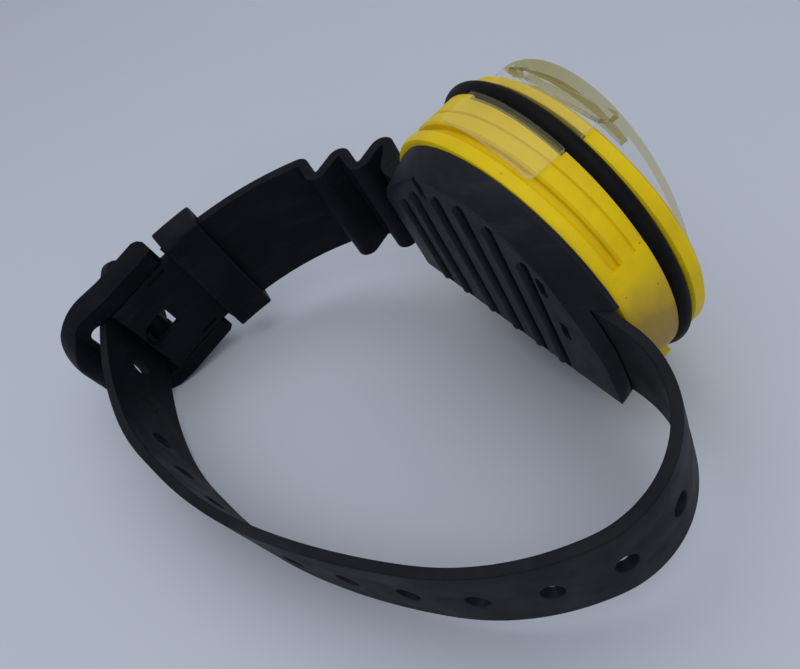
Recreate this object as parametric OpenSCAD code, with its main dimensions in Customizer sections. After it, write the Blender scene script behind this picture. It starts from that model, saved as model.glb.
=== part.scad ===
// Wrist dive computer: round wedge housing with a ribbed back pad, a clear display
// shield held by a rubber ring, and a buckled two-piece rubber strap.
// Body frame: X along the strap at the pad, Y out of the display, Z across the strap.
// The whole part leans about X so that it rests on the ring and on the buckle.

/* [Housing] */
// radius of the round rear flange
flange_r = 29.6; // [29.3:0.1:30]
// thickness of the rear flange
flange_h = 2.8; // [2.6:0.1:3]
// wall of the housing
wall = 4.2; // [4:0.1:4.4]
// thickness of the housing floor
floor_t = 1.8; // [1.6:0.1:2]
// tilt of the display and its ring, thicker towards -X
face_tilt = 3.3; // [2.8:0.1:3.8]

/* [Retaining ring] */
// how far the ring's centre line lies inside the flange's edge
ring_in = 0.5; // [0.3:0.1:0.7]
// radius of the ring's round section
ring_t = 1.5; // [1.4:0.05:1.55]
// height of the ring's centre above the housing's rear face
ring_h = 12.4; // [12.2:0.1:13]

/* [Shield] */
// thickness of the clear shield
shield_t = 1.5; // [1.3:0.1:1.7]
// rise of the shield's arch
arch_h = 6.8; // [6.4:0.1:7.2]
// width of the shield's skirt that the ring holds
skirt_w = 21; // [18:0.5:22]

/* [Back pad] */
// distance of the pad's face behind the flange
pad_t = 3.5; // [3.3:0.1:4]
// width of the pad's grooves
groove_w = 1.6; // [1.2:0.1:2]
// depth of the pad's grooves
groove_d = 1.2; // [0.8:0.1:1.4]

/* [Strap] */
// thickness of the short strap and of both strap roots
strap_t = 2.2; // [1.9:0.1:2.4]
// thickness of the long strap
long_t = 1.8; // [1.6:0.1:2]
// width of the short strap with the accordion
short_w = 26; // [25:0.5:27]
// width of the long strap with the holes
long_w = 22; // [20:0.5:22]
// radius of the accordion's folds on the centre line
fold_r = 1.6; // [1.55:0.05:1.7]
// length of the straight flanks of the folds
fold_flank = 4.1; // [3.9:0.1:4.3]
// radius of the short strap's plain arc
arc_r = 62; // [60:1:64]
// length of an adjusting hole along the strap
hole_l = 4.4; // [4.2:0.1:5]
// width of an adjusting hole
hole_w = 5.5; // [5:0.1:6]

/* [Buckle] */
// radius of the buckle pin
pin_r = 1.2; // [1:0.05:1.3]
// width of each side arm of the frame
arm_w = 4; // [3.6:0.1:4.4]
// depth of the keeper along the strap
keeper_l = 9.5; // [8:0.5:10]
// wall of the keeper
keeper_wall = 2.2; // [1.8:0.1:2.4]

/* [Hidden] */
fine = 48;
seg_n = 72;
lean = 15;
roll = 3.79;
play = 0.3;
run_fit = 0.05;
seat = 0.1;

// levels of the housing along Y, and of the tilted front along its own axis
rear_y = 1.5;
head_x = -1;
ring_y = rear_y + ring_h;
groove_y = rear_y + flange_h;
tier_y = groove_y + 1.5;
line_y = tier_y + 2.8;
groove_in = 1.4;
ring_gap = 0.1;
seam_h = -ring_t - ring_gap;
lip_h = ring_t + ring_gap;
seal_t = 0.6;
top_h = seam_h - seal_t;
skirt_t = 0.8;
skirt_gap = 0.1;
ring_r = flange_r - ring_in;
neck_r = ring_r - ring_t - skirt_t - 2 * skirt_gap - 0.1;
bore_r = neck_r - 1.7;
lip_a = flange_r + 0.4;
lip_b = flange_r - 1.3;
front_h = 5;
ledge_h = 1.8;
seat_h = 2.8;
cavity_r = flange_r - wall;
end_turn = 30;
rear_end_turn = 24;
screw_at = cavity_r - 2.8;
screw_r = 1.05;
screw_head_r = 1.9;
screw_head_h = 1.2;
boss_r = 2.3;

// stack inside the case along the front's axis
plate_t = 1;
board_t = 1.2;
board_r = cavity_r - 3;
mask_t = 0.4;
strip_h = 0.7;
glass_h = top_h + board_t + strip_h;
cell_r = board_r - 10.15;
cell_t = 5;
sensor_z = cavity_r - 6.4;
buzzer_at = cavity_r - 9;
buzzer_turn = 37.6;
window_r = bore_r - 1.9;
stud_x = flange_r - 3.6;
view_w = 2 * (bore_r - 11.8);
view_d = 2 * (bore_r - 13.05);
panel_over = 1.5;

// strap path: each step is a turn in degrees with its radius, or 0 with a length
slot_x = flange_r - 3.6;
strap_y = -0.4;
wave = 59;
fold_head = 225;
rise_turn = 45;
pin_s = 44;
flap_turn = 14;
flap_r = 20;
short_start = [-slot_x, strap_y, 180];
short_run = [[0, 2.5], [-rise_turn, 3.2], [0, 4.8],
    [fold_head + wave - 180 + rise_turn, fold_r], [0, fold_flank],
    [-2 * wave, fold_r], [0, fold_flank], [2 * wave, fold_r], [0, fold_flank],
    [-2 * wave, fold_r], [0, fold_flank], [71, fold_r]];
short_arc = [pin_s, arc_r];
short_flap = [flap_turn, flap_r];
tail_l = 12;
tail_round = 8;
tail_w = long_w - 0.1;
tail_t = long_t - 0.1;

function turned(s, r, a) =
    let (g = sign(a), c = [s[0] - g * r * sin(s[2]), s[1] + g * r * cos(s[2])], h = s[2] + a)
    [c[0] + g * r * sin(h), c[1] - g * r * cos(h), h];
function moved(s, d) = [s[0] + d * cos(s[2]), s[1] + d * sin(s[2]), s[2]];
function part_way(s, e, k) = e[0] == 0 ? moved(s, e[1] * k) : turned(s, e[1], e[0] * k);
function cuts(e) = e[0] == 0 ? 1 : max(2, ceil(max(abs(e[0]) / 9, abs(e[0]) * e[1] / 200)));
function walk(s, list, i = 0) = i == len(list) ? [s] :
    concat([for (k = [0:cuts(list[i]) - 1]) part_way(s, list[i], k / cuts(list[i]))],
        walk(part_way(s, list[i], 1), list, i + 1));
function last(v) = v[len(v) - 1];
function shifted(s, d) = [s[0] - d * sin(s[2]), s[1] + d * cos(s[2])];
function band(path, d1, d2) = concat([for (s = path) shifted(s, d1)],
    [for (i = [len(path) - 1:-1:0]) shifted(path[i], d2)]);
function step_len(e) = e[0] == 0 ? e[1] : abs(e[0]) * e[1] * PI / 180;
function along(s, list, d, i = 0) = d <= step_len(list[i]) || i == len(list) - 1 ?
    part_way(s, list[i], d / step_len(list[i])) :
    along(part_way(s, list[i], 1), list, d - step_len(list[i]), i + 1);

short_fold_end = last(walk(short_start, short_run));
arc_c = shifted(short_fold_end, arc_r);
short_pin = turned(short_fold_end, arc_r, pin_s);
pin_out = strap_t / 2 + 2;
pin_p = shifted(short_pin, -pin_out);
pin_h = short_pin[2];
hub_r = 2.7;
arm_in = long_w / 2 + 0.7;
frame_z = arm_in + arm_w;
arm_back = -11.6;
arm_face = pin_out + strap_t / 2;
pin_deep = 2.4;
flap_z = arm_in - 0.4;
eye_w = 5.2;
eye_r = 2.4;
tongue_w = 3;
tongue_t = 1.8;
bar_x = 14.6;
bar_y = -0.8;
bar_r = 3.6;
bar_round = 12;
tongue_dir = -atan2(-bar_y, bar_x) - asin((bar_r + tongue_t / 2 + play) / norm([bar_x, bar_y]));
tongue_l = bar_x + 2;

// long strap: its first and its middle bend are as wide as it takes to reach the buckle
strap_ahead = 6.85;
strap_aside = 1.94;
function cross2(a, b) = a[0] * b[1] - a[1] * b[0];
function heading(h) = [cos(h), sin(h)];
function flat(s) = [s[0], s[1]];
long_start = [slot_x, strap_y, 0];
first_turn = -112;
side_turn = -31;
middle_turn = -12;
give = 6;
function long_bends(r1, r2) = [[0, 4], [first_turn, r1], [side_turn, 49], [middle_turn, r2],
    [-17, 84], [0, give], [-15, 49], [-18, 84]];
bare_end = last(walk(long_start, long_bends(0, 0)));
first_way = flat(turned([0, 0, long_start[2]], 1, first_turn));
middle_way = flat(turned([0, 0, long_start[2] + first_turn + side_turn], 1, middle_turn));
missing = pin_p + strap_ahead * heading(pin_h) + strap_aside * heading(pin_h + 90) - flat(bare_end);
first_r = cross2(missing, middle_way) / cross2(first_way, middle_way);
middle_r = cross2(first_way, missing) / cross2(first_way, middle_way);
long_run = concat(long_bends(first_r, middle_r), [[0, 11]]);
function run_len(list, n) = n == 0 ? 0 : run_len(list, n - 1) + step_len(list[n - 1]);

// the long strap's hole that the tongue goes through
bend_end = last(walk(long_start, [for (i = [0:len(long_run) - 2]) long_run[i]]));
tongue_h = heading(pin_h + tongue_dir);
hole_turn = cross2(pin_p - [bend_end[0], bend_end[1]], tongue_h) /
    cross2(heading(bend_end[2]), tongue_h);
long_len = run_len(long_run, len(long_run) - 1);
hole_count = 15;
hole_first = 17.8;
hole_pitch = (long_len + hole_turn - hole_first) / (hole_count - 1);

keeper_gap = 0.35;
keeper_room = 1.5;
keeper_z = short_w / 2 + 0.5;
keeper_end = pin_h - (keeper_room - arm_back) / arc_r * 180 / PI;
keeper_turn = keeper_l / arc_r * 180 / PI;

function level(h, a, b) = [for (i = [0:seg_n - 1]) [a * cos(360 * i / seg_n), h,
    b * sin(360 * i / seg_n)]];

module placed() {
    rotate([lean, 0, 0]) rotate([0, roll, 0]) translate([0, pad_t, 0]) children();
}

module slab(y0, y1) {
    translate([0, y1, 0]) rotate([90, 0, 0]) linear_extrude(height = y1 - y0) children();
}

module front() {
    translate([head_x, ring_y, 0]) rotate([0, 0, -face_tilt]) children();
}

module disc(y0, y1, r) {
    translate([0, y0, 0]) rotate([-90, 0, 0]) cylinder(h = y1 - y0, r = r, $fn = fine);
}

module turned_solid(turn = 360, start = 0) {
    rotate([-90, 0, 0]) rotate([0, 0, start]) rotate_extrude(angle = turn, $fn = fine) children();
}

module post(x, z, y0, y1, r) {
    translate([x, y0, z]) rotate([-90, 0, 0]) cylinder(h = y1 - y0, r = r, $fn = fine);
}

module loft(rings) {
    n = len(rings[0]);
    m = len(rings);
    polyhedron(points = [for (r = rings) each r], faces = concat(
        [[for (i = [n - 1:-1:0]) i]],
        [[for (i = [0:n - 1]) (m - 1) * n + i]],
        [for (j = [0:m - 2], i = [0:n - 1]) [j * n + i, j * n + (i + 1) % n, (j + 1) * n + i]],
        [for (j = [0:m - 2], i = [0:n - 1])
            [j * n + (i + 1) % n, (j + 1) * n + (i + 1) % n, (j + 1) * n + i]]));
}

function seam_at(x) = ring_y - tan(face_tilt) * x + seam_h;

module screw_places() {
    for (x = [-1, 1], z = [-1, 1])
        translate([head_x + x * screw_at * cos(45), 0, z * screw_at * sin(45)]) children();
}

module rounded(w, h, r) {
    square([w - 2 * r, h], center = true);
    square([w, h - 2 * r], center = true);
    for (x = [r - w / 2, w / 2 - r], y = [r - h / 2, h / 2 - r])
        translate([x, y]) circle(r = r, $fn = fine);
}

// round rear flange, shadow groove and the tier that rises to the tilted ring
module rear_housing() {
    color([0.82, 0.7, 0.05]) difference() {
        union() {
            translate([head_x, 0, 0]) turned_solid() polygon([[0, rear_y], [flange_r - 0.9, rear_y],
                [flange_r - 0.25, rear_y + 0.25], [flange_r, rear_y + 0.9],
                [flange_r, groove_y - 0.5], [flange_r - 0.4, groove_y],
                [flange_r - groove_in, groove_y], [flange_r - groove_in, tier_y],
                [flange_r - 0.4, tier_y], [flange_r, tier_y + 0.4], [flange_r, line_y - 0.3],
                [flange_r - 0.5, line_y - 0.1], [flange_r - 0.5, line_y + 0.2],
                [flange_r - 0.1, line_y + 0.4], [flange_r - 0.1, ring_y + 3], [0, ring_y + 3]]);
            for (g = [[0, end_turn], [180, rear_end_turn]]) translate([head_x, 0, 0])
                turned_solid(2 * g[1], g[0] - g[1]) translate([cavity_r + 1, rear_y + 0.9])
                    square([wall - 1, ring_h]);
        }
        front() {
            translate([-50, seam_h, -50]) cube([100, 50, 100]);
            disc(top_h, 9, neck_r + 0.1);
            disc(top_h - plate_t, 9, cavity_r + 0.4);
            for (g = [-1, 1]) skirt_arc(g, 0.5) translate([neck_r, seam_h - skirt_t - 2 * skirt_gap])
                square([9, 9]);
        }
        difference() {
            translate([head_x, 0, 0]) disc(rear_y + floor_t, 30, cavity_r);
            screw_places() disc(0, 30, boss_r);
        }
        screw_places() disc(-1, 30, screw_r + run_fit);
        screw_places() disc(-1, rear_y + screw_head_h, screw_head_r + run_fit);
        post(head_x, sensor_z, -1, rear_y + floor_t + 1, 1.5);
    }
}

// neck under the ring, lip over it and the stepped display opening
module front_bezel() {
    color([0.84, 0.72, 0.06]) difference() {
        front() difference() {
            union() {
                disc(seam_h, lip_h + 0.2, neck_r);
                loft([level(lip_h, lip_a - 1, lip_b - 0.4), level(lip_h + 0.6, lip_a, lip_b),
                    level(front_h - 0.8, lip_a, lip_b), level(front_h - 0.2, lip_a - 0.6, lip_b - 0.7),
                    level(front_h, lip_a - 1.4, lip_b - 1.5)]);
            }
            difference() {
                disc(seam_h - 1, ledge_h, bore_r);
                for (x = [-1, 1], z = [-1, 1]) translate([x * screw_at * cos(45), 0, z * screw_at * sin(45)])
                    disc(seam_h - 1, 9, boss_r + 0.3);
            }
            disc(0, front_h + 1, window_r - 1.9);
            disc(seat_h, front_h + 1, window_r + 0.85);
            for (x = [-1, 1], z = [-1, 1])
                post(x * stud_x, z * 4.5, front_h - 2, front_h + 1, 0.8 + run_fit);
            for (g = [-1, 1]) skirt_arc(g, 0.5) translate([neck_r - 0.15, -9])
                square([9, 9 + lip_h + skirt_t + 2 * skirt_gap]);
        }
        for (x = [-1, 1], z = [-1, 1])
            translate([head_x + x * screw_at * cos(45), 0, z * screw_at * sin(45)])
                disc(-1, seam_at(x * screw_at * cos(45)) + 2.6, screw_r + run_fit);
    }
}

module case_seal() {
    color([0.1, 0.1, 0.1]) front() turned_solid() translate([cavity_r + 0.5, top_h])
        square([neck_r - cavity_r - 0.5, seal_t]);
}

module case_screws() {
    color([0.7, 0.7, 0.72]) for (x = [-1, 1], z = [-1, 1])
        translate([head_x + x * screw_at * cos(45), 0, z * screw_at * sin(45)]) difference() {
            union() {
                disc(rear_y, rear_y + screw_head_h, screw_head_r);
                disc(rear_y, seam_at(x * screw_at * cos(45)) + 2.2, screw_r);
            }
            translate([0, rear_y - 0.1, 0]) rotate([-90, 0, 0]) cylinder(h = 0.8, r = 0.9, $fn = 6);
        }
}

// plain boot over the rear of the flange with a raised, ribbed plate on it
pad_x = flange_r / 29.6;
boot_x = 0.3;
boot_r = flange_r - 0.6;
plate_low = -(short_w / 2 + 1.6);
plate_pts = [[-29, plate_low], [-29, 8], [-26, 12.4], [-13, 22.4], [-7, 25.4], [0, 26.4],
    [7, 25.8], [12, 23.4], [18, 17], [22.5, 8], [25.5, -1], [26.5, plate_low]];
groove_tops = [[-20, 12], [-13.5, 18], [-5.4, 21.4], [1.6, 23.5], [8, 22.4], [14, 17.5]];

module back_pad() {
    color([0.09, 0.1, 0.12]) difference() {
        hull() {
            slab(-pad_t, -pad_t + 0.7) polygon([for (p = plate_pts) p * pad_x]);
            translate([boot_x, 0, 0]) disc(rear_y - 0.8, rear_y, boot_r);
        }
        channel(-1, short_w);
        channel(1, long_w);
        for (g = groove_tops) {
            translate([g[0], -pad_t + groove_d, g[1]]) rotate([90, 0, 0])
                cylinder(h = 3, r = groove_w / 2, $fn = fine);
            translate([g[0] - groove_w / 2, -pad_t + groove_d - 3, plate_low - 10])
                cube([groove_w, 3, g[1] - plate_low + 10]);
        }
        for (p = [[-10, 21.6, 5], [16.4, 13.4, 5], [18, 2, 5]])
            translate([p[0], -pad_t + groove_d, p[1]]) rotate([90, 0, 0])
                linear_extrude(height = 3) rounded(1.8, p[2], 0.8);
    }
}

// slot for a strap's thin end and its thicker bead, open to the housing
bead_l = 4;
bead_t = strap_t + 0.35;
module channel(g, w) {
    translate([g > 0 ? slot_x - 1 : -slot_x - 20 + 1, strap_y - strap_t / 2, -w / 2 - seat])
        cube([20, 5, w + 2 * seat]);
    translate([g > 0 ? slot_x - 8 : -slot_x + 8 - bead_l - 0.2, strap_y - bead_t / 2, -w / 2 - seat])
        cube([bead_l + 0.2, 5, w + 2 * seat]);
    translate([g > 0 ? slot_x - 5 : -slot_x - 5, strap_y - strap_t / 2, -w / 2 - seat])
        cube([10, 5, w + 2 * seat]);
}

module bead(g, w) {
    translate([g > 0 ? slot_x - 8 + 0.1 : -slot_x + 8 - bead_l - 0.1, strap_y - bead_t / 2, -w / 2])
        cube([bead_l, bead_t, w]);
    translate([g > 0 ? slot_x - 7 : -slot_x - 0.01, strap_y - strap_t / 2, -w / 2])
        cube([7.01, strap_t, w]);
}

module retaining_ring() {
    color([0.06, 0.06, 0.07]) front() turned_solid() translate([ring_r, 0]) circle(r = ring_t, $fn = 32);
}

// arched clear cover with straight sides, leaning down towards +X, and two skirts for the ring
shield_r = flange_r - 0.9;
shield_z = 26.3;
band_x = 14;
shield_lean = 4;
arch_a = shield_r + 0.8;
arch_y = 4.2;
skirt_half = asin(skirt_w / 2 / ring_r);
skirt_turn = 3.5;
skirt_in = flange_r + 0.3;
tab_t = 0.5;
tab_half = (skirt_in + tab_t) * sin(skirt_half) + 0.15;
tab_round = 2.2;
skirt_low = tier_y - ring_y - 0.7;
function oval(a, b) = [for (i = [0:seg_n - 1]) [a * cos(360 * i / seg_n), b * sin(360 * i / seg_n)]];
function arch(a, h) = [for (i = [0:48]) [-a * cos(i * 3.75), h * sin(i * 3.75)]];

module skirt_arc(g, more) {
    turned_solid(2 * skirt_half + 2 * more, g * (skirt_turn - 90) - skirt_half - more) children();
}

// outline of a skirt seen from the side, rounded at its lower corners
module tab_shape(low) {
    translate([ring_r * sin(skirt_turn), 0, -40]) linear_extrude(height = 80) {
        translate([-2 * tab_half, low + tab_round]) square([4 * tab_half, 30]);
        translate([tab_round - tab_half, low - 1]) square([2 * (tab_half - tab_round), 30]);
        for (s = [-1, 1]) translate([s * (tab_half - tab_round), low + tab_round])
            circle(r = tab_round, $fn = fine);
    }
}

module display_shield() {
    color([0.85, 0.85, 0.7, 0.5]) front() {
        intersection() {
            slab(front_h + 0.2, 30) polygon(oval(shield_r, shield_z));
            rotate([0, 0, -shield_lean]) translate([0, arch_y, 0]) {
                translate([0, 0, -40]) linear_extrude(height = 80) difference() {
                    polygon(arch(arch_a, arch_h));
                    polygon(arch(arch_a - shield_t, arch_h - shield_t));
                }
                difference() {
                    translate([0, 0, -40]) linear_extrude(height = 80) intersection() {
                        polygon(arch(arch_a - 0.3, arch_h - 0.3));
                        translate([-band_x, arch_h - 3.6]) square([2 * band_x, 10]);
                    }
                    slab(-30, 30) polygon(oval(shield_r - 1.3, shield_z - 1.3));
                }
            }
        }
        for (g = [-1, 1]) {
            low = g > 0 ? skirt_low : skirt_low + 3;
            intersection() {
                tab_shape(low - 0.15);
                skirt_arc(g, 0) polygon([[skirt_in, low],
                    [skirt_in, seam_h - skirt_t - skirt_gap],
                    [neck_r + skirt_gap, seam_h - skirt_t - skirt_gap],
                    [neck_r + skirt_gap, lip_h + skirt_t + skirt_gap],
                    [lip_b + 0.5, lip_h + skirt_t + skirt_gap], [lip_b + 0.5, front_h + 0.6],
                    [lip_b + 0.5 + skirt_t, front_h + 0.6], [lip_b + 0.5 + skirt_t, lip_h + skirt_gap],
                    [neck_r + skirt_gap + skirt_t, lip_h + skirt_gap],
                    [neck_r + skirt_gap + skirt_t, seam_h - skirt_gap],
                    [skirt_in + tab_t, seam_h - skirt_gap], [skirt_in + tab_t, low]]);
            }
            hull() {
                skirt_arc(g, 0) translate([lip_b + 0.5, front_h + 0.1]) square([skirt_t, 0.5]);
                translate([ring_r * sin(skirt_turn) - skirt_w / 2, arch_y + arch_h - 3.4,
                    g > 0 ? shield_z - 2.1 : -shield_z + 1]) cube([skirt_w, 1.2, 1.1]);
            }
        }
    }
}

module window_gasket() {
    color([0.08, 0.08, 0.08]) front() turned_solid() polygon([[window_r - 1.9, seat_h],
        [window_r + 0.8, seat_h], [window_r + 0.8, front_h - 0.2], [window_r + 0.05, front_h - 0.2],
        [window_r + 0.05, seat_h + 0.5], [window_r - 1.9, seat_h + 0.5]]);
}

module window() {
    color([0.8, 0.85, 0.85, 0.4]) front() disc(seat_h + 0.5, front_h - 0.1, window_r);
}

module boss_room() {
    for (x = [-1, 1], z = [-1, 1]) translate([x * screw_at * cos(45), 0, z * screw_at * sin(45)])
        disc(-30, 30, boss_r + 0.8);
}

module display_mask() {
    color([0.15, 0.16, 0.16]) front() difference() {
        disc(ledge_h - mask_t, ledge_h, bore_r - 2.2);
        slab(-9, 9) rounded(view_w, view_d, 1.5);
        boss_room();
    }
}

module display_panel() {
    color([0.62, 0.66, 0.58]) front() slab(glass_h, ledge_h - mask_t)
        rounded(view_w + 2 * panel_over, view_d + 2 * panel_over, 0.6);
}

module display_connectors() {
    color([0.75, 0.45, 0.5]) front() for (g = [-1, 1])
        translate([-view_w / 2 - 0.5, top_h + board_t, g * (view_d / 2 + 0.25) - 1])
            cube([view_w + 1, strip_h, 2]);
}

module circuit_board() {
    color([0.1, 0.35, 0.2]) front() difference() {
        union() {
            disc(top_h, top_h + board_t, board_r);
            translate([2.9 - board_r, top_h - 1.4, -4]) cube([6, 1.5, 8]);
            translate([board_r - 8.4, top_h - 1.2, -3]) cube([4.5, 1.3, 6]);
            translate([-4, top_h - 1.1, 3.4 - board_r]) cube([8, 1.2, 5]);
        }
        boss_room();
    }
}

module inner_frame() {
    color([0.3, 0.3, 0.32]) front() difference() {
        disc(top_h - plate_t, top_h, cavity_r + 0.3);
        disc(-9, 0, board_r - 1.6);
        for (x = [-1, 1], z = [-1, 1]) translate([x * screw_at * cos(45), 0, z * screw_at * sin(45)])
            disc(-30, 30, boss_r + 0.3);
    }
}

module battery_cell() {
    color([0.7, 0.7, 0.72]) front() {
        post(0, 0, top_h - cell_t, top_h - 0.6, cell_r);
        post(0, 0, top_h - 0.7, top_h, cell_r - 2.5);
    }
}

module pressure_sensor() {
    color([0.72, 0.72, 0.7]) front() {
        post(0, sensor_z, top_h - 7.5, top_h - 1.1, 2.6);
        post(0, sensor_z, top_h - 1.2, top_h, 1.5);
    }
}

module buzzer() {
    color([0.78, 0.62, 0.25]) {
        post(head_x + buzzer_at * cos(buzzer_turn), buzzer_at * sin(buzzer_turn),
            rear_y + floor_t, rear_y + floor_t + 0.5, 4.2);
        post(head_x + buzzer_at * cos(buzzer_turn), buzzer_at * sin(buzzer_turn),
            rear_y + floor_t + 0.4, rear_y + floor_t + 0.9, 3);
    }
}

module contact_studs() {
    color([0.75, 0.75, 0.77]) front() for (x = [-1, 1], z = [-1, 1])
        post(x * stud_x, z * 4.5, front_h - 2, front_h - 0.1, 0.8);
}

module strap_hole(d) {
    s = along(long_start, long_run, d);
    translate([s[0], s[1], 0]) rotate([0, 0, s[2]]) rotate([90, 0, 0])
        translate([0, 0, -4]) linear_extrude(height = 8) rounded(hole_l, hole_w, 0.8);
}

module strap_long() {
    path = walk(long_start, long_run);
    tip = last(path);
    color([0.07, 0.075, 0.08]) difference() {
        union() {
            translate([0, 0, -long_w / 2]) linear_extrude(height = long_w)
                polygon(band(path, long_t / 2, -long_t / 2));
            bead(1, long_w);
            translate([tip[0], tip[1], 0]) rotate([0, 0, tip[2]]) rotate([90, 0, 0])
                translate([0, 0, -tail_t / 2]) linear_extrude(height = tail_t) {
                    translate([-0.5, -tail_w / 2]) square([tail_l - tail_round + 0.5, tail_w]);
                    translate([-0.5, tail_round - tail_w / 2])
                        square([tail_l + 0.5, tail_w - 2 * tail_round]);
                    for (z = [-1, 1]) translate([tail_l - tail_round, z * (tail_w / 2 - tail_round)])
                        circle(r = tail_round, $fn = fine);
                }
        }
        for (k = [0:hole_count - 1]) strap_hole(hole_first + k * hole_pitch);
    }
}

module at_pin() {
    translate([pin_p[0], pin_p[1], 0]) rotate([0, 0, pin_h]) children();
}

module strap_short() {
    path = walk(short_start, concat(short_run, [short_arc]));
    flap = walk(last(path), [short_flap]);
    color([0.07, 0.075, 0.08]) difference() {
        union() {
            translate([0, 0, -short_w / 2]) linear_extrude(height = short_w)
                polygon(band(path, strap_t / 2, -strap_t / 2));
            bead(-1, short_w);
            translate([0, 0, -flap_z]) linear_extrude(height = 2 * flap_z)
                polygon(band(flap, strap_t / 2, -strap_t / 2));
            at_pin() {
                translate([0, 0, -flap_z]) cylinder(h = 2 * flap_z, r = hub_r, $fn = fine);
                translate([-2.2, 0, -flap_z]) cube([4.4, pin_out, 2 * flap_z]);
            }
        }
        at_pin() {
            translate([0, 0, -20]) cylinder(h = 40, r = pin_r + 0.02, $fn = fine);
            for (g = [-1, 1]) {
                translate([arm_back - keeper_room + 0.5, -5, g > 0 ? flap_z : -flap_z - 10])
                    cube([12 - arm_back, 14, 10]);
                translate([arm_back + 2, -5, g > 0 ? flap_z - 2 : -flap_z + 1]) cube([4.6, 14, 1]);
            }
            translate([-3.6, -6, -eye_w / 2 - 0.5]) cube([5, 14, eye_w + 1]);
            translate([1.4, 8, 0]) rotate([90, 0, 0])
                cylinder(h = 14, r = eye_w / 2 + 0.5, $fn = fine);
        }
    }
}

module keeper() {
    color([0.06, 0.065, 0.07]) translate([arc_c[0], arc_c[1], 0])
        rotate([0, 0, keeper_end - 90 - keeper_turn])
            rotate_extrude(angle = keeper_turn, $fn = 360) difference() {
                translate([arc_r + 0.1, 0])
                    rounded(strap_t + 2 * keeper_gap + 2 * keeper_wall + 0.2,
                        2 * (keeper_z + keeper_wall), 1.6);
                translate([arc_r - strap_t / 2 - keeper_gap, -keeper_z])
                    square([strap_t + 2 * keeper_gap, 2 * keeper_z]);
            }
}

// chunky open frame: two arms beside the strap end and a rounded end bar
module plan(x0, x1, z, r) {
    translate([x0, -z]) square([x1 - r - x0, 2 * z]);
    translate([x0, r - z]) square([x1 - x0, 2 * (z - r)]);
    for (g = [-1, 1]) translate([x1 - r, g * (z - r)]) circle(r = r, $fn = 64);
}

module buckle_frame() {
    color([0.06, 0.065, 0.07]) at_pin() difference() {
        intersection() {
            translate([0, 0, -frame_z]) linear_extrude(height = 2 * frame_z) {
                polygon([[arm_back, 0.6], [arm_back + 0.5, -1.2], [arm_back + 1.6, -2.2],
                    [1, -2.4], [6, -3.4], [bar_x, bar_y - bar_r + 0.1], [bar_x, bar_y + 2.5],
                    [bar_x - bar_r - 0.4, bar_y + 2.6], [bar_x - bar_r - 3.4, arm_face - 0.9],
                    [3, arm_face], [arm_back + 1.6, arm_face + 0.7],
                    [arm_back + 0.4, arm_face - 0.2]]);
                translate([bar_x, bar_y]) circle(r = bar_r, $fn = fine);
            }
            rotate([90, 0, 0]) translate([0, 0, -10]) linear_extrude(height = 20)
                plan(arm_back - 1, bar_x + bar_r, frame_z, bar_round);
        }
        rotate([90, 0, 0]) translate([0, 0, -10]) linear_extrude(height = 20)
            plan(arm_back - 5, bar_x - bar_r, arm_in, 2.5);
        rotate([0, 0, tongue_dir]) translate([0, -12, -tongue_w / 2 - 0.4])
            cube([bar_x + 9, 12 + tongue_t / 2 + play, tongue_w + 0.8]);
        translate([0, 0, -arm_in - pin_deep - 0.2])
            cylinder(h = 2 * (arm_in + pin_deep + 0.2), r = pin_r + run_fit, $fn = fine);
    }
}

module buckle_pin() {
    color([0.75, 0.75, 0.77]) at_pin() translate([0, 0, -arm_in - pin_deep])
        cylinder(h = 2 * (arm_in + pin_deep), r = pin_r, $fn = fine);
}

module buckle_tongue() {
    color([0.08, 0.085, 0.09]) at_pin() difference() {
        union() {
            translate([0, 0, -eye_w / 2]) cylinder(h = eye_w, r = eye_r, $fn = fine);
            rotate([0, 0, tongue_dir]) {
                translate([0, -tongue_t / 2, -tongue_w / 2]) cube([tongue_l - 1.5, tongue_t, tongue_w]);
                translate([tongue_l - 1.5, tongue_t / 2, 0]) rotate([90, 0, 0])
                    cylinder(h = tongue_t, r = tongue_w / 2, $fn = fine);
            }
        }
        translate([0, 0, -20]) cylinder(h = 40, r = pin_r + run_fit, $fn = fine);
    }
}

placed() rear_housing();
placed() front_bezel();
placed() case_seal();
placed() case_screws();
placed() back_pad();
placed() retaining_ring();
placed() display_shield();
placed() window();
placed() window_gasket();
placed() display_mask();
placed() display_panel();
placed() display_connectors();
placed() circuit_board();
placed() inner_frame();
placed() battery_cell();
placed() pressure_sensor();
placed() buzzer();
placed() contact_studs();
placed() strap_short();
placed() strap_long();
placed() keeper();
placed() buckle_frame();
placed() buckle_pin();
placed() buckle_tongue();
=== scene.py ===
import math
import bpy
from mathutils import Matrix, Vector


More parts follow.
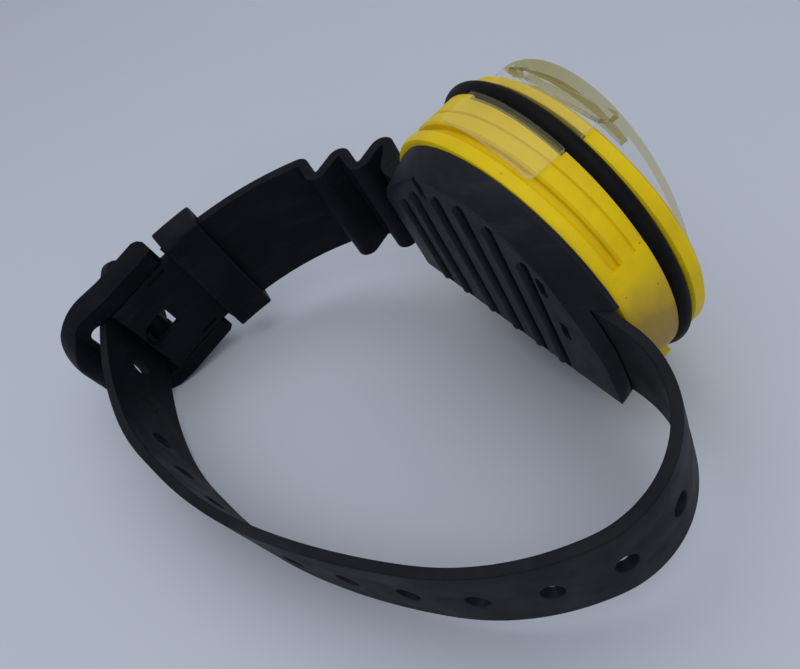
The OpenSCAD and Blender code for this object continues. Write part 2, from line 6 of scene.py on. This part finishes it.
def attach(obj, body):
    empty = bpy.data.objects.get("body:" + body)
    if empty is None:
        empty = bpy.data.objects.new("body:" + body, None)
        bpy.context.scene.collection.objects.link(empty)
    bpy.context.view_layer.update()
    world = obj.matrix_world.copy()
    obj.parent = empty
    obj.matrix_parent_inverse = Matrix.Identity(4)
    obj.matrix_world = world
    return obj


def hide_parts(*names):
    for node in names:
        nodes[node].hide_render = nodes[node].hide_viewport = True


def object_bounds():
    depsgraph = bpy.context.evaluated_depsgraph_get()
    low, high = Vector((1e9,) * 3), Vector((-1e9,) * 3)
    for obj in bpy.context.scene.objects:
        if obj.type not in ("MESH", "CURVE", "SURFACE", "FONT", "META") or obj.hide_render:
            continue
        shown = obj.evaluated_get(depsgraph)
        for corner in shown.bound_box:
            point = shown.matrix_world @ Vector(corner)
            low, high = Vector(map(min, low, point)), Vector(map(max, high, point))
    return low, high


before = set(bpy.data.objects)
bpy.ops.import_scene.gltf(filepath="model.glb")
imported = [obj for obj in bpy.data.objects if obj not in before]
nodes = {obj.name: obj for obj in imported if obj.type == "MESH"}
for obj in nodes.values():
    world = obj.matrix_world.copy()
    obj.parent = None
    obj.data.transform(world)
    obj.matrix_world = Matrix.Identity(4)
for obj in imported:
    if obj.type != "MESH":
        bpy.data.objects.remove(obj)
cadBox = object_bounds()
print("frame loaded,", len(nodes), "nodes")


def turned(degrees, axis):
    return Matrix.Rotation(math.radians(degrees), 4, axis)


lying = {"lean": 15.0, "roll": 3.79, "padThick": 3.5}  # the case on the table, degrees and mm
frontSet = {"centre": (-1, 13.9, 0), "tilt": -3.3}  # ring and face plane on the case
toTable = (turned(lying["lean"], "X") @ turned(lying["roll"], "Y")
           @ Matrix.Translation((0, lying["padThick"], 0)))
toFront = toTable @ Matrix.Translation(frontSet["centre"]) @ turned(frontSet["tilt"], "Z")
caseAxes = toTable.copy()  # the same in metres
caseAxes.translation /= 1000


def tablePoint(x, y, z):  # from mm on the case's axes to metres on the table
    return (toTable @ Vector((x, y, z))) / 1000


def pickOnly(obj):
    bpy.ops.object.select_all(action="DESELECT")
    obj.select_set(True)
    bpy.context.view_layer.objects.active = obj


def applyModifiers(obj):
    pickOnly(obj)
    for name in [m.name for m in obj.modifiers]:
        bpy.ops.object.modifier_apply(modifier=name)


# rounds the edges sharper than the angle; radius in mm, finish is a material slot
def roundEdges(obj, radius, steps, angle, finish=-1):
    bevel = obj.modifiers.new("edgeRound", "BEVEL")
    bevel.width = radius / 1000
    bevel.segments = steps
    bevel.limit_method = "ANGLE"
    bevel.angle_limit = math.radians(angle)
    bevel.material = finish


# small helpers for the finishes, then one maker per real material

def startFinish(name):
    mat = bpy.data.materials.new(name)
    mat.use_nodes = True
    tree = mat.node_tree
    coords = tree.nodes.new("ShaderNodeTexCoord")
    return mat, tree, tree.nodes["Principled BSDF"], coords.outputs["Object"]


def tune(node, values):
    for name, value in values.items():
        node.inputs[name].default_value = value


def plug(tree, socket, value):  # link an output, or set a number or a colour
    if hasattr(value, "links"):
        tree.links.new(value, socket)
    elif isinstance(value, (int, float)):
        socket.default_value = value
    else:
        socket.default_value = (*value, 1)


def shade(colour, factor):
    return [c * factor for c in colour]


def stretched(tree, coords, scale, turn=(0, 0, 0), place=(0, 0, 0)):
    mapping = tree.nodes.new("ShaderNodeMapping")
    tune(mapping, {"Scale": scale, "Rotation": [math.radians(a) for a in turn], "Location": place})
    tree.links.new(coords, mapping.inputs["Vector"])
    return mapping.outputs["Vector"]


def noise(tree, coords, scale, detail):
    tex = tree.nodes.new("ShaderNodeTexNoise")
    tune(tex, {"Scale": scale, "Detail": detail, "Roughness": 0.55})
    tree.links.new(coords, tex.inputs["Vector"])
    return tex.outputs["Fac"]


def grains(tree, coords, scale):
    tex = tree.nodes.new("ShaderNodeTexVoronoi")
    tune(tex, {"Scale": scale})
    tree.links.new(coords, tex.inputs["Vector"])
    return tex.outputs["Distance"]


def ramp(tree, fac, stops):  # stops of (position, grey or colour)
    node = tree.nodes.new("ShaderNodeValToRGB")
    bar = node.color_ramp
    while len(bar.elements) < len(stops):
        bar.elements.new(0.5)
    for element, (pos, col) in zip(bar.elements, stops):
        element.position = pos
        element.color = (col, col, col, 1) if isinstance(col, (int, float)) else (*col, 1)
    tree.links.new(fac, node.inputs["Fac"])
    return node.outputs["Color"]


def mixed(tree, fac, a, b):
    node = tree.nodes.new("ShaderNodeMix")
    node.data_type = "RGBA"
    for socket, value in ((node.inputs["Factor"], fac), (node.inputs[6], a), (node.inputs[7], b)):
        plug(tree, socket, value)
    return node.outputs[2]


def times(tree, a, b):
    node = tree.nodes.new("ShaderNodeMath")
    node.operation = "MULTIPLY"
    for socket, value in zip(node.inputs, (a, b)):
        plug(tree, socket, value)
    return node.outputs[0]


def spot(tree, coords, centre, radius):  # soft round patch, 1 in the middle and 0 at its radius
    place = [-c / radius for c in tablePoint(*centre) * 1000]
    patch = tree.nodes.new("ShaderNodeTexGradient")
    patch.gradient_type = "SPHERICAL"
    fit = stretched(tree, coords, [1000 / radius] * 3, place=place)
    tree.links.new(fit, patch.inputs["Vector"])
    return patch.outputs["Fac"]


def bumps(tree, bsdf, layers):  # layers of (height, strength, depth in metres)
    last = None
    for height, strength, depth in layers:
        node = tree.nodes.new("ShaderNodeBump")
        tune(node, {"Strength": strength, "Distance": depth})
        tree.links.new(height, node.inputs["Height"])
        if last:
            tree.links.new(last, node.inputs["Normal"])
        last = node.outputs["Normal"]
    tree.links.new(last, bsdf.inputs["Normal"])


def feed(tree, bsdf, colour, rough):
    tree.links.new(colour, bsdf.inputs["Base Color"])
    tree.links.new(rough, bsdf.inputs["Roughness"])


# handled and speck are wear; the brown patch is painted shade, darkening the case's end block where
# it faces away from the light
yellowWearAndShade = {"handled": (0.5, 0.33, 0.02), "paintedShade": (0.27, 0.165, 0.045),
              "speck": (0.16, 0.1, 0.02)}


def yellowPlastic(name, pale, deep, paintedShade=None):
    mat, tree, bsdf, coords = startFinish(name)
    body = ramp(tree, noise(tree, coords, 55, 5), [(0.3, deep), (0.7, pale)])
    handled = ramp(tree, noise(tree, coords, 130, 4), [(0.5, 0), (0.72, 0.3)])
    body = mixed(tree, handled, body, yellowWearAndShade["handled"])
    if paintedShade:
        # painted shade on the end block: a soft round patch broken up by noise
        patch = times(tree, spot(tree, coords, *paintedShade), noise(tree, coords, 110, 2))
        body = mixed(tree, ramp(tree, patch, [(0.02, 0), (0.34, 0.8)]), body, yellowWearAndShade["paintedShade"])
    speck = ramp(tree, noise(tree, coords, 1300, 1), [(0.77, 0), (0.8, 0.8)])
    body = mixed(tree, speck, body, yellowWearAndShade["speck"])
    scuff = noise(tree, stretched(tree, coords, (260, 2600, 900), (0, 35, 20)), 1, 3)
    feed(tree, bsdf, body, ramp(tree, scuff, [(0.35, 0.36), (0.7, 0.55)]))
    bumps(tree, bsdf, [(noise(tree, coords, 2600, 2), 0.05, 0.0002), (scuff, 0.06, 0.0002)])
    tune(bsdf, {"Specular IOR Level": 0.14, "Subsurface Weight": 0.06,
                "Subsurface Radius": (0.002, 0.0015, 0.0003), "Subsurface Scale": 0.5})
    return mat


rubberWear = {"rubbed": 2.1, "dust": (0.05, 0.05, 0.052)}  # rubbed is how much paler than worn


def blackRubber(name, dark, worn, roughLow, roughHigh, gloss, grain=1800):
    mat, tree, bsdf, coords = startFinish(name)
    body = ramp(tree, noise(tree, coords, 70, 5), [(0.3, dark), (0.72, worn)])
    patches = noise(tree, stretched(tree, coords, (90, 90, 380), (15, 10, 0)), 1, 4)
    rubbed = ramp(tree, patches, [(0.56, 0), (0.78, 0.45)])
    body = mixed(tree, rubbed, body, shade(worn, rubberWear["rubbed"]))
    dust = ramp(tree, noise(tree, coords, 2200, 2), [(0.73, 0), (0.79, 0.5)])
    body = mixed(tree, dust, body, rubberWear["dust"])
    sheen = noise(tree, coords, 160, 4)
    feed(tree, bsdf, body, ramp(tree, sheen, [(0.3, roughLow), (0.7, roughHigh)]))
    streak = noise(tree, stretched(tree, coords, (300, 300, 2400)), 1, 3)
    bumps(tree, bsdf, [(grains(tree, coords, grain), 0.08, 0.0001), (streak, 0.05, 0.0001)])
    tune(bsdf, {"Specular IOR Level": gloss})
    return mat


def clearPlastic(name, tint, seen, roughLow, roughHigh, gloss):
    mat, tree, bsdf, coords = startFinish(name)
    haze = noise(tree, coords, 120, 5)
    feed(tree, bsdf, ramp(tree, haze, [(0.3, tint), (0.8, shade(tint, 0.88))]),
         ramp(tree, haze, [(0.35, roughLow), (0.75, roughHigh)]))
    scratch = noise(tree, stretched(tree, coords, (150, 150, 3000), (20, 40, 0)), 1, 2)
    bumps(tree, bsdf, [(scratch, 0.03, 0.0001)])
    tune(bsdf, {"Alpha": seen, "IOR": 1.49, "Specular IOR Level": gloss})
    return mat


def tintedWall(name, dense, pale, reach):  # colours what is seen through it, less so at one end
    mat, tree, bsdf, coords = startFinish(name)
    start, end = reach
    along = tree.nodes.new("ShaderNodeTexGradient")
    fit = stretched(tree, coords, [1000 / (end - start)] * 3, place=(-start / (end - start), 0, 0))
    tree.links.new(fit, along.inputs["Vector"])
    haze = noise(tree, coords, 160, 4)
    body = mixed(tree, along.outputs["Fac"],
                 ramp(tree, haze, [(0.3, dense), (0.8, shade(dense, 0.9))]),
                 ramp(tree, haze, [(0.3, pale), (0.8, shade(pale, 0.95))]))
    feed(tree, bsdf, body, ramp(tree, haze, [(0.35, 0.1), (0.75, 0.2)]))
    bumps(tree, bsdf, [(haze, 0.02, 0.0001)])
    tune(bsdf, {"Transmission Weight": 1, "IOR": 1.04})  # hardly bends the light
    return mat


def bareMetal(name, colour, rough, turn=(0, 0, 0)):
    mat, tree, bsdf, coords = startFinish(name)
    brush = noise(tree, stretched(tree, coords, (4000, 4000, 300), turn), 1, 3)
    feed(tree, bsdf, ramp(tree, brush, [(0.2, shade(colour, 0.8)), (0.8, colour)]),
         ramp(tree, brush, [(0.3, rough), (0.7, rough + 0.15)]))
    bumps(tree, bsdf, [(brush, 0.08, 0.0001)])
    tune(bsdf, {"Metallic": 1})
    return mat


def paintedSheet(name, low, high, rough, scale):
    mat, tree, bsdf, coords = startFinish(name)
    mottle = noise(tree, coords, scale, 5)
    feed(tree, bsdf, ramp(tree, mottle, [(0.3, low), (0.7, high)]),
         ramp(tree, mottle, [(0.3, rough), (0.7, rough + 0.12)]))
    bumps(tree, bsdf, [(noise(tree, coords, scale * 12, 2), 0.08, 0.0001)])
    return mat


yellows = {  # pale, deep, then the middle and radius of a painted shade on the end block, mm
    "caseYellow": ((0.78, 0.575, 0.004), (0.7, 0.49, 0.003), ((29, 7.5, -3), 17)),
    "caseYellowEdge": ((0.84, 0.64, 0.015), (0.77, 0.56, 0.01)),
    "bezelYellow": ((0.76, 0.565, 0.004), (0.69, 0.49, 0.003)),
}
rubbers = {  # dark, worn, lowest and highest roughness, gloss, then a grain of its own
    "padRubber": ((0.0085, 0.01, 0.0135), (0.015, 0.017, 0.0225), 0.42, 0.56, 0.09),
    # the pad's rounded edges are painted lighter than its faces, a painted highlight; the extra
    # gloss is real
    "padEdge": ((0.012, 0.0135, 0.018), (0.02, 0.0225, 0.029), 0.4, 0.5, 0.3),
    "strapRubber": ((0.005, 0.006, 0.009), (0.0085, 0.0097, 0.0135), 0.45, 0.6, 0.06),
    # the straps' and keeper's rounded edges and the long strap's side faces are painted lighter, a
    # painted highlight line
    "strapEdge": ((0.007, 0.008, 0.011), (0.012, 0.0135, 0.017), 0.45, 0.58, 0.08),
    "ringRubber": ((0.004, 0.004, 0.0045), (0.0075, 0.0075, 0.008), 0.46, 0.58, 0.06, 900),
    "bucklePlastic": ((0.0042, 0.005, 0.0075), (0.007, 0.008, 0.0112), 0.45, 0.58, 0.04, 2600),
    "buckleEdge": ((0.0055, 0.0064, 0.0092), (0.009, 0.0102, 0.0135), 0.43, 0.55, 0.06, 2600),
    "sealRubber": ((0.006, 0.006, 0.006), (0.012, 0.012, 0.012), 0.5, 0.65, 0.12),
}
clears = {  # tint, how much of it shows from 0 to 1, lowest and highest roughness, gloss
    "guardClear": ((0.78, 0.76, 0.5), 0.07, 0.08, 0.16, 0.5),
    "guardEdge": ((0.85, 0.82, 0.66), 0.6, 0.12, 0.25, 0.6),
    "windowGlass": ((0.9, 0.93, 0.92), 0.1, 0.03, 0.07, 0.6),
}
walls = {  # dense, pale, where along x the first turns into the second, mm
    "guardRim": ((0.52, 0.42, 0.1), (0.8, 0.69, 0.36), (-4, 28)),
}
metals = {  # colour, roughness, then a turn of the brushing
    "steelBright": ((0.66, 0.66, 0.68), 0.25),
    "brassDisc": ((0.75, 0.53, 0.22), 0.28, (90, 0, 0)),
}
sheets = {  # the two colours of the mottle, roughness, scale
    "maskPrint": ((0.015, 0.015, 0.017), (0.025, 0.025, 0.028), 0.5, 300),
    "displayGrey": ((0.3, 0.34, 0.27), (0.36, 0.4, 0.32), 0.2, 40),
    "connectorPink": ((0.42, 0.16, 0.2), (0.5, 0.22, 0.26), 0.55, 900),
    "boardGreen": ((0.012, 0.1, 0.04), (0.02, 0.16, 0.06), 0.35, 200),
    "framePlastic": ((0.06, 0.06, 0.065), (0.09, 0.09, 0.095), 0.5, 250),
}
finishes = {}
for make, table in ((yellowPlastic, yellows), (blackRubber, rubbers), (clearPlastic, clears),
                    (tintedWall, walls), (bareMetal, metals), (paintedSheet, sheets)):
    for name, values in table.items():
        finishes[name] = make(name, *values)
print("finishes made,", len(finishes))

carried = {  # CAD nodes that stay as they are
    "case_seal": "sealRubber", "case_screws": "steelBright", "retaining_ring": "ringRubber",
    "window": "windowGlass", "window_gasket": "sealRubber", "display_mask": "maskPrint",
    "display_panel": "displayGrey", "display_connectors": "connectorPink",
    "circuit_board": "boardGreen", "inner_frame": "framePlastic", "battery_cell": "steelBright",
    "pressure_sensor": "steelBright", "buzzer": "brassDisc", "contact_studs": "steelBright",
    "buckle_pin": "steelBright",
}
for node, finish in carried.items():
    mesh = nodes[node].data
    mesh.materials.clear()
    mesh.materials.append(finishes[finish])

moulding = {"merge": 0.000002, "flat": 0.4, "steps": 3, "angle": 32, "shade": 40}  # metres, degrees


def roundedCopy(name, piece):  # merged copy of a node with moulded edges
    obj = bpy.data.objects.new(name, nodes[piece["node"]].data.copy())
    bpy.context.scene.collection.objects.link(obj)
    pickOnly(obj)
    bpy.ops.object.mode_set(mode="EDIT")
    bpy.ops.mesh.select_all(action="SELECT")
    bpy.ops.mesh.remove_doubles(threshold=moulding["merge"])
    bpy.ops.mesh.dissolve_limited(angle_limit=math.radians(moulding["flat"]))
    bpy.ops.mesh.select_all(action="DESELECT")
    bpy.ops.object.mode_set(mode="OBJECT")
    obj.data.materials.clear()
    for finish in piece["finish"]:
        obj.data.materials.append(finishes[finish])
    roundEdges(obj, piece["edge"], moulding["steps"], moulding["angle"], finish=1)
    applyModifiers(obj)
    bpy.ops.object.shade_smooth_by_angle(angle=math.radians(moulding["shade"]))
    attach(obj, piece["body"])
    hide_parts(piece["node"])
    print("moulded", name)
    return obj


# in each piece, finish is the broad faces, then the rounded edges; edge is their radius in mm
rearHousing = {"node": "rear_housing", "finish": ("caseYellow", "caseYellowEdge"), "edge": 0.18,
               "body": "case_and_strap", "slot": "yellow_case"}
housing = roundedCopy("rearHousing", rearHousing)

frontBezel = {"node": "front_bezel", "finish": ("bezelYellow", "caseYellowEdge"), "edge": 0.18,
              "body": "case_and_strap", "slot": "yellow_case"}
roundedCopy("frontBezel", frontBezel)

backPad = {"node": "back_pad", "finish": ("padRubber", "padEdge"), "edge": 0.25,
           "body": "case_and_strap", "slot": "pad_rubber"}
pad = roundedCopy("backPad", backPad)

faceGuard = {"node": "display_shield", "finish": ("guardClear", "guardEdge", "guardRim"),
             "edge": 0.18, "body": "case_and_strap", "slot": "clear_shield"}
guard = roundedCopy("faceGuard", faceGuard)

strapShort = {"node": "strap_short", "finish": ("strapRubber", "strapEdge"), "edge": 0.3,
              "body": "case_and_strap", "slot": "strap_rubber"}
roundedCopy("strapShort", strapShort)

strapKeeper = {"node": "keeper", "finish": ("strapRubber", "strapEdge"), "edge": 0.45,
               "body": "loop_keeper", "slot": "strap_rubber"}
roundedCopy("strapKeeper", strapKeeper)

buckleFrame = {"node": "buckle_frame", "finish": ("bucklePlastic", "buckleEdge"), "edge": 0.7,
               "body": "frame", "slot": "buckle_plastic"}
roundedCopy("buckleFrame", buckleFrame)

buckleTongue = {"node": "buckle_tongue", "finish": ("bucklePlastic", "buckleEdge"), "edge": 0.3,
                "body": "tongue", "slot": "buckle_plastic"}
roundedCopy("buckleTongue", buckleTongue)

# the guard's arch is seen edge-on through its whole depth, so it looks denser
guardFaces = {  # limits on the face plane's axes, mm, and on the way a face looks
    "archFrom": 5.1, "archSide": 0.8,
    "tabBelow": -1.5, "tabTop": 0.6, "tabEnd": -0.4, "tabSide": 0.7,
}
toGuard = toFront.inverted()
for face in guard.data.polygons:
    at = toGuard @ (face.center * 1000)
    out = toGuard.to_3x3() @ face.normal
    onArch = at.y > guardFaces["archFrom"] and abs(out.y) < guardFaces["archSide"]
    onTab = at.y < guardFaces["tabBelow"] and out.z < guardFaces["tabTop"]
    onRim = out.y < guardFaces["tabEnd"] or abs(out.x) > guardFaces["tabSide"]
    if face.material_index == 0 and onArch:
        face.material_index = 2
    elif onTab and onRim:
        face.material_index = 1

adding = {"steps": 4, "angle": 50, "shade": 40}


# rounds a small added form and carries it from the case's axes to the table
def settle(obj, edge, finish):
    obj.data.materials.append(finishes[finish])
    roundEdges(obj, edge, adding["steps"], adding["angle"])
    applyModifiers(obj)
    obj.matrix_world = caseAxes @ obj.matrix_world
    bpy.ops.object.transform_apply(location=True, rotation=True, scale=True)
    bpy.ops.object.shade_smooth_by_angle(angle=math.radians(adding["shade"]))
    return obj


def joinTo(target, extras):
    pickOnly(target)
    for extra in extras:
        extra.select_set(True)
    bpy.ops.object.join()
    print("added to", target.name, len(extras))


padRibs = {  # raised rods beside the pad's slots, as (x, top z) on the pad, mm
    "tops": [(-21.5, 11.4), (-15, 17.2), (-6.9, 20.6), (0.1, 22.7), (6.5, 21.6), (12.5, 16.7)],
    "low": -14.2, "radius": 0.95, "sunk": 0.3, "around": 20, "endRound": 0.8, "finish": "padRubber",
}
rods = []
for x, top in padRibs["tops"]:
    place = Vector((x, padRibs["sunk"] - lying["padThick"], (top + padRibs["low"]) / 2)) / 1000
    bpy.ops.object.select_all(action="DESELECT")
    bpy.ops.mesh.primitive_cylinder_add(vertices=padRibs["around"], radius=padRibs["radius"] / 1000,
                                        depth=(top - padRibs["low"]) / 1000, location=place)
    rods.append(settle(bpy.context.active_object, padRibs["endRound"], padRibs["finish"]))
joinTo(pad, rods)

caseNub = {  # end of the land past the end block; size is radial, axial and along the rim, mm
    "radius": 28.9, "turn": -34, "height": 8.7, "size": (1.8, 2.2, 5), "edge": 0.25,
    "finish": "caseYellow",
}
turn = math.radians(caseNub["turn"])
place = Vector((caseNub["radius"] * math.cos(turn), caseNub["height"],
                caseNub["radius"] * math.sin(turn))) / 1000
bpy.ops.object.select_all(action="DESELECT")
bpy.ops.mesh.primitive_cube_add(size=0.001, location=place, rotation=(0, -turn, 0),
                                scale=caseNub["size"])
nub = bpy.context.active_object
bpy.ops.object.transform_apply(location=False, rotation=False, scale=True)
joinTo(housing, [settle(nub, caseNub["edge"], caseNub["finish"])])

strapLong = {  # centre line as (0, length) or (degrees, radius) steps from the pad, mm
    "line": [(0, 4), (-112, 19.4), (-31, 49), (-12, 130), (-17, 84), (0, 6), (-15, 49), (-18, 84),
             (0, 23)],
    "start": (26, -0.4), "root": 7, "width": 22, "thick": 1.8, "tailRound": 8, "rows": 8,
    "lean": 2, "leanFrom": 6, "leanOver": 130,  # degrees at most, and the length that leans
    "holes": 15, "firstHole": 17.8, "pitch": 10.8952, "holeLong": 4.0, "holeRows": (3, 4),
    "corner": 0.65,  # cut off each corner of a hole
    "tongueHole": 5.0,  # the last one, pulled long by the tongue
    "beforeHoles": (3, 6, 9, 12.4), "afterHoles": (2.5, 5), "tailStops": (8, 6, 4, 2.2, 0.8, 0),
    "edge": 0.4, "edgeSteps": 2, "edgeAngle": 50, "smooth": 2,
    "finish": ("strapRubber", "strapEdge"), "body": "case_and_strap", "slot": "strap_rubber",
}


def stepLength(turn, size):
    return size if turn == 0 else abs(math.radians(turn)) * size


def onLine(piece, run):  # place and heading at a distance along the strap
    x, y = piece["start"]
    heading = 0
    if run <= 0:
        return x + run, y, heading
    for turn, size in piece["line"]:
        step = min(run, stepLength(turn, size))
        if turn == 0:
            x += step * math.cos(heading)
            y += step * math.sin(heading)
        else:
            way = math.copysign(1, turn)
            after = heading + way * step / size
            x += way * size * (math.sin(after) - math.sin(heading))
            y -= way * size * (math.cos(after) - math.cos(heading))
            heading = after
        run -= step
    return x, y, heading


# where the grid's columns lie along the strap, those in a hole, those with cut corners
def strapStops(piece, reach):
    last = piece["holes"] - 1
    free = piece["pitch"] - piece["holeLong"]
    stops = [-piece["root"], -piece["root"] / 2, 0, *piece["beforeHoles"]]
    holeColumns, inward = set(), {}
    for k in range(piece["holes"]):
        middle = piece["firstHole"] + k * piece["pitch"]
        half = piece["holeLong" if k < last else "tongueHole"] / 2
        holeColumns |= {len(stops), len(stops) + 1}
        if k < last:
            inward.update({len(stops): 1, len(stops) + 2: -1})
        stops += [middle - half, middle, middle + half]
        if k < last:
            stops += [middle + half + free / 3, middle + half + 2 * free / 3]
    stops += [stops[-1] + past for past in piece["afterHoles"]]
    stops += [reach - back for back in piece["tailStops"]]
    return stops, holeColumns, inward


def layStrap(name, piece):  # flat grid with holes, laid along the centre line and thickened
    reach = sum(stepLength(turn, size) for turn, size in piece["line"])
    stops, holeColumns, inward = strapStops(piece, reach)
    columns, rows = len(stops) - 1, piece["rows"]
    halfWidth, tailRound = piece["width"] / 2, piece["tailRound"]
    bpy.ops.object.select_all(action="DESELECT")
    bpy.ops.mesh.primitive_grid_add(x_subdivisions=columns, y_subdivisions=rows, size=2)
    strap = bpy.context.active_object
    strap.name = strap.data.name = name
    bpy.ops.object.mode_set(mode="EDIT")
    bpy.ops.mesh.select_all(action="DESELECT")
    bpy.ops.mesh.select_mode(type="FACE")
    bpy.ops.object.mode_set(mode="OBJECT")
    for face in strap.data.polygons:
        column, row = int((face.center.x + 1) / 2 * columns), int((face.center.y + 1) / 2 * rows)
        face.select = column in holeColumns and row in piece["holeRows"]
    bpy.ops.object.mode_set(mode="EDIT")
    bpy.ops.mesh.delete(type="FACE")
    bpy.ops.object.mode_set(mode="OBJECT")
    for vertex in strap.data.vertices:
        column, row = round((vertex.co.x + 1) / 2 * columns), round((vertex.co.y + 1) / 2 * rows)
        run = stops[column]
        across = vertex.co.y * piece["width"] / 2
        if column in inward and row in (rows / 2 - 1, rows / 2 + 1):  # cut the hole's corners
            run += inward[column] * piece["corner"]
            across -= math.copysign(piece["corner"], across)
        over = max(0, run - reach + tailRound)
        if over:  # round the end
            narrow = halfWidth - tailRound + math.sqrt(tailRound ** 2 - over ** 2)
            across *= narrow / halfWidth
        x, y, heading = onLine(piece, run)
        leaning = min(1, max(0, (run - piece["leanFrom"]) / piece["leanOver"]))
        lean = math.radians(piece["lean"]) * math.sin(math.pi * leaning) ** 2
        aside = -across * math.sin(lean)
        vertex.co = tablePoint(x - aside * math.sin(heading), y + aside * math.cos(heading),
                               across * math.cos(lean))
    for finish in piece["finish"]:
        strap.data.materials.append(finishes[finish])
    wall = strap.modifiers.new("wall", "SOLIDIFY")
    wall.thickness = piece["thick"] / 1000
    wall.offset = 0
    # the side faces take the lighter edge finish, a painted highlight line
    wall.material_offset_rim = 1
    roundEdges(strap, piece["edge"], piece["edgeSteps"], piece["edgeAngle"])
    soften = strap.modifiers.new("soften", "SUBSURF")
    soften.levels = soften.render_levels = piece["smooth"]
    applyModifiers(strap)
    bpy.ops.object.mode_set(mode="EDIT")
    bpy.ops.mesh.select_all(action="SELECT")
    bpy.ops.mesh.normals_make_consistent(inside=False)
    bpy.ops.object.mode_set(mode="OBJECT")
    bpy.ops.object.shade_smooth()
    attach(strap, piece["body"])
    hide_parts("strap_long")
    print("laid", name, len(strap.data.polygons), "faces")


layStrap("strapLong", strapLong)

photo = {  # camera read from the photograph, on the case's own axes, mm
    "place": (80.77, -35.49, 107.68), "lens": 33.86, "sensor": 36, "nearest": 0.005,
    "right": (0.58679, 0.70815, -0.39267), "down": (0.50466, -0.69907, -0.50658),
    "ahead": (-0.63324, 0.09909, -0.76759),
}
turnOnly = toTable.to_3x3()
cameraData = bpy.data.cameras.new("photoCamera")
cameraData.sensor_width = photo["sensor"]
cameraData.lens = photo["lens"]
cameraData.clip_start = photo["nearest"]
camera = bpy.data.objects.new("photoCamera", cameraData)
bpy.context.scene.collection.objects.link(camera)
right, down, ahead = (turnOnly @ Vector(photo[k]) for k in ("right", "down", "ahead"))
pose = Matrix((right, -down, -ahead)).transposed().to_4x4()
pose.translation = tablePoint(*photo["place"])
camera.matrix_world = pose
bpy.context.scene.camera = camera

tableSet = {"size": 3, "gap": 0.0002,  # metres
            "colour": (0.52, 0.556, 0.645), "paler": 1.04, "gloss": 0.2}
bpy.ops.object.select_all(action="DESELECT")
tableHeight = cadBox[0].z - tableSet["gap"]
bpy.ops.mesh.primitive_plane_add(size=tableSet["size"], location=(0, 0, tableHeight))
tableTop = bpy.context.active_object
tableTop.name = "tableTop"
mat, tree, bsdf, coords = startFinish("tablePale")
clouds = [(0.3, tableSet["colour"]), (0.7, shade(tableSet["colour"], tableSet["paler"]))]
feed(tree, bsdf, ramp(tree, noise(tree, coords, 3, 3), clouds),
     ramp(tree, noise(tree, coords, 60, 3), [(0.3, 0.55), (0.7, 0.65)]))
tune(bsdf, {"Specular IOR Level": tableSet["gloss"]})
tableTop.data.materials.append(mat)

lamps = [  # name, place, size, power, colour
    ("softBox", (0.1, -0.1, 0.9), 1.2, 4.5, (1, 0.99, 0.98)),
    ("sideFill", (0.75, -0.4, 0.5), 0.9, 1.9, (0.97, 0.98, 1)),
]
for name, place, size, power, colour in lamps:
    lampData = bpy.data.lights.new(name, "AREA")
    lampData.size = size
    lampData.energy = power
    lampData.color = colour
    lamp = bpy.data.objects.new(name, lampData)
    bpy.context.scene.collection.objects.link(lamp)
    lamp.location = place
    lamp.rotation_euler = (-Vector(place)).to_track_quat("-Z", "Y").to_euler()

# the room is a little brighter overhead
room = {"horizon": (0.33, 0.35, 0.38), "zenith": (0.38, 0.4, 0.43), "full": 0.75}
world = bpy.data.worlds.new("softRoom")
world.use_nodes = True
tree = world.node_tree
way = tree.nodes.new("ShaderNodeSeparateXYZ")
tree.links.new(tree.nodes.new("ShaderNodeTexCoord").outputs["Generated"], way.inputs["Vector"])
sky = ramp(tree, way.outputs["Z"], [(0.0, room["horizon"]), (room["full"], room["zenith"])])
tree.links.new(sky, tree.nodes["Background"].inputs["Color"])
bpy.context.scene.world = world
bpy.context.scene.view_settings.view_transform = "Standard"
print("table, light and camera set")
